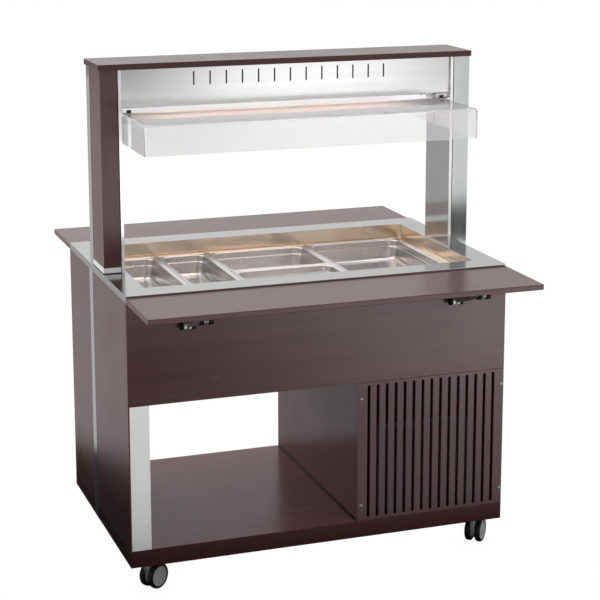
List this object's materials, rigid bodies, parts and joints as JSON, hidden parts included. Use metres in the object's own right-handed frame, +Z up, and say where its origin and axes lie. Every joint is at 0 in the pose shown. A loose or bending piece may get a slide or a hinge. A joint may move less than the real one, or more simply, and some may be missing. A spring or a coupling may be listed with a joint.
{
  "type": "buffet trolley",
  "caption": "Refrigerated buffet trolley: laminate cabinet on swivel castors with a pan well, lit canopy, clear sneeze guards, fold-down trays and an open shelf bay.",
  "frame": {"origin": "on the floor under the middle of the cabinet", "axes": "+X along the cabinet's length towards the slotted compartment, +Y from the front to the rear, +Z up"},
  "size_m": [1.145, 1.2, 1.484],
  "materials": {
    "wenge_laminate": "satin",
    "brushed_steel": "satin",
    "polished_steel": "polished",
    "anodised_aluminium": "satin",
    "clear_acrylic": "gloss",
    "lamp_glass": "gloss",
    "zinc_steel": "satin",
    "black_plastic": "satin",
    "castor_grey": "satin",
    "castor_tyre": "matte",
    "compressor_black": "satin",
    "foam": "matte"
  },
  "bodies": {
    "cabinet": {"base_plate": "wenge_laminate", "bay_ceiling": "wenge_laminate", "castor_plates": "zinc_steel", "compartment_divider": "wenge_laminate", "compressor": "compressor_black", "condenser": "anodised_aluminium", "control_panel": "black_plastic", "fan_shroud": "zinc_steel", "front_apron": "wenge_laminate", "front_grille": "wenge_laminate", "front_guard": "clear_acrylic", "grille_screws": "zinc_steel", "guard_clips": "black_plastic", "lamp_housing": "brushed_steel", "lamp_reflector": "polished_steel", "lamp_tube": "lamp_glass", "left_front_panel": "wenge_laminate", "left_post_cladding": "wenge_laminate", "left_post_cover": "polished_steel", "left_rear_panel": "wenge_laminate", "leg_casing": "brushed_steel", "pan_crossbars": "brushed_steel", "post_carriers": "anodised_aluminium", "post_collars": "polished_steel", "power_inlet": "black_plastic", "rear_apron": "wenge_laminate", "rear_grille": "wenge_laminate", "rear_guard": "clear_acrylic", "right_front_panel": "wenge_laminate", "right_post_cladding": "wenge_laminate", "right_post_cover": "polished_steel", "right_rear_panel": "wenge_laminate", "roof_board": "wenge_laminate", "stay_brackets": "zinc_steel", "top_rim": "polished_steel", "tray_hinges": "zinc_steel", "well_basin": "brushed_steel", "well_insulation": "foam"},
    "front_tray": {"front_tray": "wenge_laminate"},
    "front_left_arm": {"front_left_arm": "zinc_steel"},
    "front_right_arm": {"front_right_arm": "zinc_steel"},
    "rear_tray": {"rear_tray": "wenge_laminate"},
    "rear_left_arm": {"rear_left_arm": "zinc_steel"},
    "rear_right_arm": {"rear_right_arm": "zinc_steel"},
    "front_left_castor_hood": {"front_left_castor_hood": "castor_grey"},
    "front_left_castor_wheels": {"front_left_castor_wheels": "castor_tyre"},
    "front_right_castor_hood": {"front_right_castor_hood": "castor_grey"},
    "front_right_castor_wheels": {"front_right_castor_wheels": "castor_tyre"},
    "rear_left_castor_hood": {"rear_left_castor_hood": "castor_grey"},
    "rear_left_castor_wheels": {"rear_left_castor_wheels": "castor_tyre"},
    "rear_right_castor_hood": {"rear_right_castor_hood": "castor_grey"},
    "rear_right_castor_wheels": {"rear_right_castor_wheels": "castor_tyre"},
    "narrow_pan_outer": {"narrow_pan_outer": "brushed_steel"},
    "narrow_pan_inner": {"narrow_pan_inner": "brushed_steel"},
    "half_pan_front": {"half_pan_front": "brushed_steel"},
    "half_pan_rear": {"half_pan_rear": "brushed_steel"},
    "full_pan": {"full_pan": "brushed_steel"},
    "fan_blades": {"fan_blades": "black_plastic"},
    "power_switch": {"power_switch": "black_plastic"},
    "thermostat_knob": {"thermostat_knob": "black_plastic"}
  },
  "joints": [
    {"name": "front_tray_fold", "type": "hinge", "parent": "cabinet", "child": "front_tray", "pos_m": [0, -0.3665, 0.8555], "axis": [1, 0, 0], "range_deg": [0, 75]},
    {"name": "front_left_arm_swing", "type": "hinge", "parent": "cabinet", "child": "front_left_arm", "pos_m": [-0.404, -0.376, 0.79], "axis": [1, 0, 0], "range_deg": [0, 105]},
    {"name": "front_right_arm_swing", "type": "hinge", "parent": "cabinet", "child": "front_right_arm", "pos_m": [0.404, -0.376, 0.79], "axis": [1, 0, 0], "range_deg": [0, 105]},
    {"name": "rear_tray_fold", "type": "hinge", "parent": "cabinet", "child": "rear_tray", "pos_m": [0, 0.3665, 0.8555], "axis": [-1, 0, 0], "range_deg": [0, 75]},
    {"name": "rear_left_arm_swing", "type": "hinge", "parent": "cabinet", "child": "rear_left_arm", "pos_m": [-0.404, 0.376, 0.79], "axis": [-1, 0, 0], "range_deg": [0, 105]},
    {"name": "rear_right_arm_swing", "type": "hinge", "parent": "cabinet", "child": "rear_right_arm", "pos_m": [0.404, 0.376, 0.79], "axis": [-1, 0, 0], "range_deg": [0, 105]},
    {"name": "front_left_castor_swivel", "type": "hinge", "parent": "cabinet", "child": "front_left_castor_hood", "pos_m": [-0.51, -0.3, 0.085], "axis": [0, 0, 1], "continuous": true},
    {"name": "front_left_castor_roll", "type": "hinge", "parent": "front_left_castor_hood", "child": "front_left_castor_wheels", "pos_m": [-0.48913, -0.28624, 0.0375], "axis": [0.5505, -0.8348, 0], "continuous": true},
    {"name": "front_right_castor_swivel", "type": "hinge", "parent": "cabinet", "child": "front_right_castor_hood", "pos_m": [0.51, -0.3, 0.085], "axis": [0, 0, 1], "continuous": true},
    {"name": "front_right_castor_roll", "type": "hinge", "parent": "front_right_castor_hood", "child": "front_right_castor_wheels", "pos_m": [0.52695, -0.28163, 0.0375], "axis": [0.7349, -0.6782, 0], "continuous": true},
    {"name": "rear_left_castor_swivel", "type": "hinge", "parent": "cabinet", "child": "rear_left_castor_hood", "pos_m": [-0.51, 0.3, 0.085], "axis": [0, 0, 1], "continuous": true},
    {"name": "rear_left_castor_roll", "type": "hinge", "parent": "rear_left_castor_hood", "child": "rear_left_castor_wheels", "pos_m": [-0.49085, 0.31607, 0.0375], "axis": [0.6428, -0.766, 0], "continuous": true},
    {"name": "rear_right_castor_swivel", "type": "hinge", "parent": "cabinet", "child": "rear_right_castor_hood", "pos_m": [0.51, 0.3, 0.085], "axis": [0, 0, 1], "continuous": true},
    {"name": "rear_right_castor_roll", "type": "hinge", "parent": "rear_right_castor_hood", "child": "rear_right_castor_wheels", "pos_m": [0.52434, 0.32048, 0.0375], "axis": [0.8192, -0.5736, 0], "continuous": true},
    {"name": "narrow_pan_outer_lift", "type": "slide", "parent": "cabinet", "child": "narrow_pan_outer", "axis": [0, 0, 1], "range_m": [0, 0.1]},
    {"name": "narrow_pan_inner_lift", "type": "slide", "parent": "cabinet", "child": "narrow_pan_inner", "axis": [0, 0, 1], "range_m": [0, 0.1]},
    {"name": "half_pan_front_lift", "type": "slide", "parent": "cabinet", "child": "half_pan_front", "axis": [0, 0, 1], "range_m": [0, 0.1]},
    {"name": "half_pan_rear_lift", "type": "slide", "parent": "cabinet", "child": "half_pan_rear", "axis": [0, 0, 1], "range_m": [0, 0.1]},
    {"name": "full_pan_lift", "type": "slide", "parent": "cabinet", "child": "full_pan", "axis": [0, 0, 1], "range_m": [0, 0.1]},
    {"name": "fan_spin", "type": "hinge", "parent": "cabinet", "child": "fan_blades", "pos_m": [0.31, -0.246, 0.285], "axis": [0, 1, 0], "continuous": true},
    {"name": "power_switch_rock", "type": "hinge", "parent": "cabinet", "child": "power_switch", "pos_m": [0.18, 0.356, 0.754], "axis": [1, 0, 0], "range_deg": [-8, 8]},
    {"name": "thermostat_knob_turn", "type": "hinge", "parent": "cabinet", "child": "thermostat_knob", "pos_m": [0.26, 0.362, 0.754], "axis": [0, -1, 0], "range_deg": [0, 270]}
  ],
  "couplings": [
    {"joint": "front_left_arm_swing", "follows": "front_tray_fold", "ratio": 1.4},
    {"joint": "front_right_arm_swing", "follows": "front_tray_fold", "ratio": 1.4},
    {"joint": "rear_left_arm_swing", "follows": "rear_tray_fold", "ratio": 1.4},
    {"joint": "rear_right_arm_swing", "follows": "rear_tray_fold", "ratio": 1.4}
  ]
}
